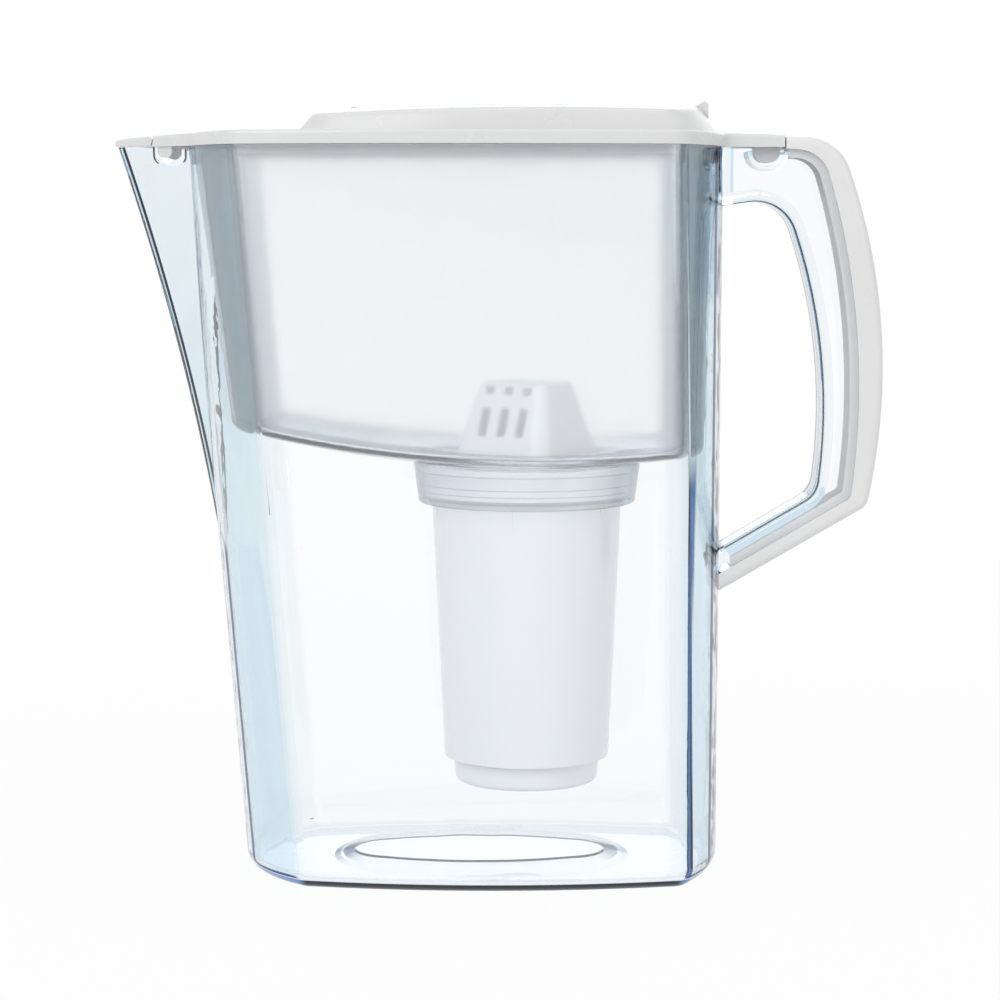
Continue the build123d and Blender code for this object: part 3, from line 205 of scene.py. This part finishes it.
class Tree:
    """A node tree with short ways to add and link its nodes."""

    def __init__(self, tree, output):
        self.tree = tree
        self.tree.nodes.clear()
        self.out = self.add(output)

    def add(self, kind, **values):
        node = self.tree.nodes.new(kind)
        for key, value in values.items():
            setattr(node, key, value)
        return node

    def put(self, value, place):
        """Gives an input a number, a colour, or what another node gives."""
        if isinstance(value, Value):
            self.tree.links.new(value.socket, place)
        elif isinstance(value, float):
            place.default_value = value
        elif isinstance(value, tuple):
            place.default_value = (*value, 1.0)
        else:
            self.tree.links.new(value, place)

    def calc(self, operation, *values):
        """One step of arithmetic."""
        node = self.add("ShaderNodeMath", operation=operation)
        for value, place in zip(values, node.inputs):
            self.put(value, place)
        return Value(self, node.outputs[0])

    def spread(self, value, ends, span=PATTERN_SPAN, interpolation="LINEAR"):
        """A value on a span as a number between two ends."""
        node = self.add("ShaderNodeMapRange", interpolation_type=interpolation)
        for name, limit in zip(("From Min", "From Max", "To Min", "To Max"), (*span, *ends)):
            node.inputs[name].default_value = limit
        self.put(value, node.inputs["Value"])
        return Value(self, node.outputs["Result"])

    def step(self, value, span):
        """A soft mask: 0 before a span and 1 past it."""
        return self.spread(value, (0.0, 1.0), span, "SMOOTHSTEP")

    def within(self, value, low, high, soft):
        """A mask of 1 where a value lies between two limits, with soft ends."""
        rise = self.step(value, (low - soft, low + soft))
        return rise * self.step(value, (high + soft, high - soft))

    def ramp(self, value, stops):
        """A colour for each value from 0 to 1."""
        node = self.add("ShaderNodeValToRGB")
        points = node.color_ramp.elements
        while len(points) < len(stops):
            points.new(0.5)
        for point, (position, colour) in zip(points, stops):
            point.position = position
            point.color = (*colour, 1.0)
        self.put(value, node.inputs["Fac"])
        return node.outputs["Color"]

    def tones(self, value, dark, light):
        """A pattern as a colour between two near tones."""
        return self.ramp(value, tuple(zip(PATTERN_SPAN, (dark, light))))

    def blend(self, share, first, second):
        """A mix of two colours."""
        node = self.add("ShaderNodeMix", data_type="RGBA")
        self.put(share, node.inputs["Factor"])
        self.put(first, node.inputs["A"])
        self.put(second, node.inputs["B"])
        return node.outputs["Result"]

    def mix(self, share, first, second):
        """A mix of two shaders."""
        node = self.add("ShaderNodeMixShader")
        for value, place in zip((share, first, second), node.inputs):
            self.put(value, place)
        return node.outputs["Shader"]

    def noise(self, scale, detail, roughness=0.5):
        """Noise over the piece, with its scale in cycles per metre."""
        place = self.add("ShaderNodeTexCoord")
        texture = self.add("ShaderNodeTexNoise")
        for name, value in (("Scale", scale), ("Detail", detail), ("Roughness", roughness)):
            texture.inputs[name].default_value = value
        self.put(place.outputs["Object"], texture.inputs["Vector"])
        return texture.outputs["Fac"]

    def bump(self, value, depth, strength=1.0):
        """A height pattern as a normal."""
        node = self.add("ShaderNodeBump")
        node.inputs["Strength"].default_value = strength
        node.inputs["Distance"].default_value = depth
        self.put(value, node.inputs["Height"])
        return node.outputs["Normal"]

    def turn(self):
        """How far the surface is turned from the eye, from 0 to 1."""
        node = self.add("ShaderNodeLayerWeight")
        node.inputs["Blend"].default_value = 0.5
        return Value(self, node.outputs["Facing"])

    def parts(self, vector):
        """A vector's three parts."""
        split = self.add("ShaderNodeSeparateXYZ")
        self.put(vector, split.inputs["Vector"])
        return [Value(self, part) for part in split.outputs]

    def place(self):
        """The three coordinates in the row frame."""
        return self.parts(self.add("ShaderNodeTexCoord").outputs["Object"])

    def eye_rays(self, path):
        """1 for what the eye sees, also in glossy surfaces and through clear ones."""
        direct = self.calc(
            "MAXIMUM", path.outputs["Is Camera Ray"], path.outputs["Is Transmission Ray"]
        )
        return self.calc("MAXIMUM", direct, path.outputs["Is Glossy Ray"])


class Surface(Tree):
    """A material of one main shader."""

    def __init__(self, name):
        self.material = bpy.data.materials.new(name)
        self.material.use_nodes = True
        super().__init__(self.material.node_tree, "ShaderNodeOutputMaterial")
        self.shader = self.add("ShaderNodeBsdfPrincipled")

    def give(self, **values):
        """Sets the main shader's inputs, named with _ for each blank."""
        for name, value in values.items():
            self.put(value, self.shader.inputs[name.replace("_", " ")])

    def show(self, surface=None):
        """Ends the material on a surface, or else on its main shader."""
        if surface is None:
            surface = self.shader.outputs["BSDF"]
        self.put(surface, self.out.inputs["Surface"])
        return self.material

    def show_with_light_through(self, colour):
        """Ends the material with a tinted way through for lamps and the light of surfaces."""
        through = self.add("ShaderNodeBsdfTransparent")
        self.put(colour, through.inputs["Color"])
        path = self.add("ShaderNodeLightPath")
        surface = self.shader.outputs["BSDF"]
        for ray in ("Is Diffuse Ray", "Is Shadow Ray"):
            surface = self.mix(path.outputs[ray], surface, through.outputs["BSDF"])
        return self.show(surface)


# ---------------------------------------------------------------- materials
def moulded(name, dark, light, roughness, grain=GRAIN_DEPTH, passes=None):
    """Moulded plastic with a faint mottle, uneven gloss and a fine grain."""
    mat = Surface(name)
    mat.give(
        Base_Color=mat.tones(mat.noise(*MOTTLE_NOISE), dark, light),
        Roughness=mat.spread(mat.noise(*GLOSS_NOISE), roughness),
        Normal=mat.bump(mat.noise(*GRAIN_NOISE), grain, GRAIN_STRENGTH),
        IOR=MOULDED_IOR,
    )
    return mat.show_with_light_through(passes) if passes else mat.show()


def depth_inside_outline(mat, x, z):
    """How far a point of the jug lies inside its outline as seen from the side."""
    up = z / JUG_HEIGHT
    front, rear = (up * (rim - base) + base for base, rim in (FRONT_WALL, REAR_WALL))
    share = (z - RIDGE_FOOT[1]) / (RIDGE_TOP[1] - RIDGE_FOOT[1])
    chord = share * (RIDGE_TOP[0] - RIDGE_FOOT[0]) + RIDGE_FOOT[0]
    ridge = chord + share * (1.0 - share) * RIDGE_BOW
    behind = x - mat.calc("MINIMUM", front, ridge)
    inward = mat.calc("MINIMUM", behind, rear - x)
    side, below = (mat.calc("MAXIMUM", BASE_ROUND - value, 0.0) for value in (inward, z))
    return BASE_ROUND - mat.calc("SQRT", side * side + below * below)


def jug_fill(mat):
    """Pale blue where a wall is seen at a slant, with painted shade: dark and navy lines and bands
    where the walls turn.
    """
    turn = mat.turn()
    x, y, z = mat.place()
    geometry = mat.add("ShaderNodeNewGeometry")
    along_x, along_y, along_z = mat.parts(geometry.outputs["Normal"])
    leaving = Value(mat, geometry.outputs["Backfacing"])
    endways, level = abs(along_x), abs(along_z)
    entering = (1.0 - leaving) * mat.step(along_x * x + along_y * y, OUTER_SPAN)
    depth = depth_inside_outline(mat, x, z)
    on_beak = mat.step(z, BEAK_Z_SPAN) * mat.step(x, BEAK_X_SPAN)
    off_beak = 1.0 - on_beak

    floor_wall = mat.step(level, FLOOR_LEVEL_SPAN) * mat.step(z, FLOOR_Z_SPAN)
    fill = mat.blend(floor_wall, mat.ramp(turn, JUG_STOPS), FLOOR_TINT)

    # Painted shade: a dark line on walls that light leaves near the critical angle
    plain_wall = mat.calc("MAXIMUM", mat.step(depth, INNER_LINE_DEPTH_SPAN), off_beak)
    inner_shade_line = mat.step(turn, INNER_LINE_RISE) * mat.step(turn, INNER_LINE_FALL)
    inner_shade_line = inner_shade_line * leaving * plain_wall * mat.step(z, INNER_LINE_Z_SPAN)
    fill = mat.blend(inner_shade_line, fill, INNER_SHADE_LINE)

    nose = mat.step(depth, NOSE_DEPTH_SPAN) * mat.step(turn, NOSE_TURN_SPAN)
    fill = mat.blend(nose * on_beak * entering, fill, NOSE_BLUE)

    # Painted corner bands, with painted shade that deepens past the start of each band
    past_start = turn - mat.spread(z, CORNER_START, CORNER_START_Z)
    band = mat.step(past_start, (-CORNER_SOFT, CORNER_SOFT)) * mat.step(turn, CORNER_END_SPAN)
    band = band * mat.step(level, CORNER_LEVEL_SPAN) * entering
    shade = mat.step(past_start, CORNER_SHADE_SPAN)
    corners = (
        (along_x, REAR_CORNER_SHADE, mat.step(z, REAR_CORNER_Z_SPAN)),
        (along_x * -1.0, FRONT_CORNER, off_beak),
    )
    for towards, colours, where in corners:
        corner = band * mat.within(towards, *CORNER_FACE, CORNER_SOFT) * where
        fill = mat.blend(corner, fill, mat.blend(shade, *colours))

    # Painted shade: a dark line just inside the outline, navy along the beak's ridge
    start, end = (mat.spread(on_beak, ends, (0.0, 1.0)) for ends in (OUTLINE_START, OUTLINE_END))
    on_ridge = on_beak * mat.step(abs(y), RIDGE_Y_SPAN) * mat.step(turn, RIDGE_TURN_SPAN)
    at_edge = mat.calc("MAXIMUM", mat.step(turn, OUTLINE_TURN_SPAN) * off_beak, on_ridge)
    outline = mat.step(depth - start, (-OUTLINE_SOFT, OUTLINE_SOFT))
    outline = outline * mat.step(depth - end, (OUTLINE_SOFT, -OUTLINE_SOFT))
    outline = outline * at_edge * mat.step(endways, OUTLINE_ENDWAYS_SPAN) * entering
    fill = mat.blend(outline, fill, mat.blend(on_beak, SHADE_NAVY, SHADE_DARK))

    # Painted shade: a dark line along the bottom edge, bluer where the wall faces along X
    base_shade_line = mat.step(z, BASE_LINE_Z_SPAN) * mat.step(endways, BASE_LINE_ENDWAYS_SPAN)
    base_shade_line = base_shade_line * mat.step(level, BASE_LINE_LEVEL_SPAN) * entering
    return mat.blend(
        base_shade_line, fill, mat.blend(mat.step(endways, BASE_BLUE_SPAN), SHADE_DARK, BASE_SHADE_BLUE)
    )


def clear_plastic(name):
    """Clear moulded plastic, blue by its thickness, with painted shade lines at its edges."""
    mat = Surface(name)
    mat.give(
        Base_Color=jug_fill(mat),
        Transmission_Weight=1.0,
        Specular_IOR_Level=JUG_SHINE,
        IOR=JUG_IOR,
        Roughness=mat.spread(mat.noise(*JUG_GLOSS_NOISE), JUG_ROUGHNESS),
    )
    volume = mat.add("ShaderNodeVolumeAbsorption")
    mat.put(JUG_THICK_BLUE, volume.inputs["Color"])
    mat.put(JUG_THICK_DENSITY, volume.inputs["Density"])
    mat.put(volume.outputs["Volume"], mat.out.inputs["Volume"])
    return mat.show_with_light_through(JUG_PASSES)


def frosted_plastic(name):
    """Frosted plastic: blurs what is behind it, with painted shade that darkens it at a slant, is
    clearest at its collar, with painted shade lines at its rings.
    """
    mat = Surface(name)
    turn = mat.turn()
    z = mat.place()[2]
    collar = mat.step(z, COLLAR_Z_SPAN)
    shade_tint = mat.blend(collar, mat.ramp(turn, HOPPER_SHADE_STOPS), mat.ramp(turn, COLLAR_SHADE_STOPS))
    # Painted shade lines at the moulded rings' heights
    for height in COLLAR_RINGS:
        ring = mat.within(z, height - RING_HALF, height + RING_HALF, RING_SOFT)
        shade_tint = mat.blend(ring, shade_tint, RING_SHADE)
    mat.give(
        Base_Color=shade_tint,
        Transmission_Weight=HOPPER_CLEAR,
        IOR=HOPPER_IOR,
        Roughness=mat.spread(mat.noise(*HOPPER_GLOSS_NOISE), HOPPER_ROUGHNESS),
    )
    return mat.show_with_light_through(HOPPER_PASSES)


def granules(name):
    """Dark sorbent granules."""
    mat = Surface(name)
    cells = mat.add("ShaderNodeTexVoronoi")
    mat.put(GRANULE_SCALE, cells.inputs["Scale"])
    mat.put(mat.add("ShaderNodeTexCoord").outputs["Object"], cells.inputs["Vector"])
    distance = cells.outputs["Distance"]
    mat.give(
        Base_Color=mat.tones(distance, *GRANULE_TONES),
        Roughness=GRANULE_ROUGHNESS,
        Normal=mat.bump(distance, GRANULE_DEPTH),
    )
    return mat.show()


def mesh_cloth(name):
    """Fine woven screen."""
    mat = Surface(name)
    weave = mat.add("ShaderNodeTexBrick")
    mat.put(WEAVE_SCALE, weave.inputs["Scale"])
    for socket_name, colour in WEAVE_COLOURS.items():
        mat.put(colour, weave.inputs[socket_name])
    mat.put(mat.add("ShaderNodeTexCoord").outputs["Object"], weave.inputs["Vector"])
    mat.give(
        Base_Color=weave.outputs["Color"],
        Roughness=WEAVE_ROUGHNESS,
        Normal=mat.bump(weave.outputs["Fac"], WEAVE_DEPTH),
    )
    return mat.show()


def dress(material, *node_names):
    """Gives CAD nodes one material on every slot."""
    for node_name in node_names:
        slots = nodes[node_name].data.materials
        slots.clear()
        slots.append(material)


dress(clear_plastic("jug_clear"), "jug_body")
dress(
    moulded("cover_white", (0.71, 0.705, 0.695), (0.745, 0.74, 0.73), (0.26, 0.36)),
    "handle_cover",
)
dress(frosted_plastic("hopper_frost"), "hopper")
dress(
    moulded("lid_white", (0.66, 0.658, 0.652), (0.69, 0.688, 0.682), (0.2, 0.3)),
    "lid_frame",
)
dress(
    moulded("flap_white", (0.665, 0.663, 0.657), (0.695, 0.693, 0.687), (0.2, 0.3)),
    "flip_lid", "spout_flap",
)
dress(
    moulded(
        "case_white", (0.862, 0.872, 0.887), (0.872, 0.882, 0.897), (0.14, 0.2),
        grain=CASE_GRAIN_DEPTH,
    ),
    "cartridge_body", "cartridge_foot",
)
dress(
    moulded(
        "hood_white", (0.91, 0.915, 0.925), (0.93, 0.935, 0.945), (0.3, 0.4),
        passes=HOOD_PASSES,
    ),
    "cartridge_cap",
)
dress(
    moulded("seal_grey", (0.52, 0.53, 0.54), (0.58, 0.59, 0.6), (0.55, 0.7)),
    "cartridge_seal",
)
dress(granules("sorbent_granules"), "sorbent_bed")
dress(mesh_cloth("screen_mesh"), "inlet_screen", "outlet_screen")


# ---------------------------------------------------------------- floor
def make_floor():
    """A wide pale floor that shows near white and keeps a soft shadow."""
    mesh = bpy.data.meshes.new("floor")
    corners = [(FLOOR_HALF * x, FLOOR_HALF * y, 0) for x, y in ((-1, -1), (1, -1), (1, 1), (-1, 1))]
    mesh.from_pydata(corners, [], [(0, 1, 2, 3)])
    floor = bpy.data.objects.new("floor", mesh)
    bpy.context.scene.collection.objects.link(floor)
    mat = Surface("floor_pale")
    mat.give(
        Base_Color=mat.tones(mat.noise(*FLOOR_NOISE), *FLOOR_TONES),
        Roughness=FLOOR_ROUGHNESS,
    )
    glow = mat.add("ShaderNodeEmission")
    mat.put((1.0, 1.0, 1.0), glow.inputs["Color"])
    mat.put(1.0, glow.inputs["Strength"])
    away = mat.add("ShaderNodeVectorMath", operation="LENGTH")
    mat.put(mat.add("ShaderNodeTexCoord").outputs["Object"], away.inputs[0])
    seen = mat.eye_rays(mat.add("ShaderNodeLightPath"))
    white = mat.spread(away.outputs["Value"], FLOOR_WHITE, FLOOR_WHITE_SPAN) * seen
    mesh.materials.append(
        mat.show(mat.mix(white, mat.shader.outputs["BSDF"], glow.outputs["Emission"]))
    )


make_floor()


# ---------------------------------------------------------------- light
def make_world():
    """White for the eye, softer as light, and blue for light caught inside the clear walls."""
    world = bpy.data.worlds.new("studio")
    bpy.context.scene.world = world
    world.use_nodes = True
    studio = Tree(world.node_tree, "ShaderNodeOutputWorld")
    path = studio.add("ShaderNodeLightPath")
    crossed = Value(studio, path.outputs["Transmission Depth"])
    mirrored = Value(studio, path.outputs["Ray Depth"]) - crossed
    mirrored = studio.calc("MAXIMUM", mirrored - 1.0, 0.0)
    inside = studio.calc("MINIMUM", crossed, 1.0)
    caught = mirrored * inside / CAUGHT_STEPS
    shown = studio.add("ShaderNodeBackground")
    studio.put(studio.ramp(caught, CAUGHT_STOPS), shown.inputs["Color"])
    light = studio.add("ShaderNodeBackground")
    studio.put(WORLD_COLOUR, light.inputs["Color"])
    studio.put(WORLD_LIGHT, light.inputs["Strength"])
    surface = studio.mix(studio.eye_rays(path), light.outputs[0], shown.outputs[0])
    studio.put(surface, studio.out.inputs["Surface"])


def softbox(name, place, width, height, watts, mirrored):
    """A large soft lamp that looks at the jug."""
    lamp = bpy.data.lights.new(name, "AREA")
    lamp.shape = "RECTANGLE"
    lamp.size = width
    lamp.size_y = height
    lamp.energy = watts
    holder = bpy.data.objects.new(name, lamp)
    bpy.context.scene.collection.objects.link(holder)
    holder.location = place
    holder.rotation_mode = "QUATERNION"
    holder.rotation_quaternion = (Vector(LAMP_AIM) - Vector(place)).to_track_quat("-Z", "Y")
    holder.visible_glossy = mirrored


make_world()
for lamp_values in LAMPS:
    softbox(*lamp_values)

# ---------------------------------------------------------------- camera
lens = bpy.data.cameras.new("photo_camera")
lens.sensor_width = SENSOR_WIDTH
lens.lens = SENSOR_WIDTH * LENS_RATIO
lens.clip_start, lens.clip_end = CLIP
camera = bpy.data.objects.new("photo_camera", lens)
bpy.context.scene.collection.objects.link(camera)
camera.location = CAMERA_PLACE
camera.rotation_euler = (radians(90.0 - CAMERA_DOWN), 0.0, 0.0)
bpy.context.scene.camera = camera

bpy.context.scene.view_settings.view_transform = "Standard"
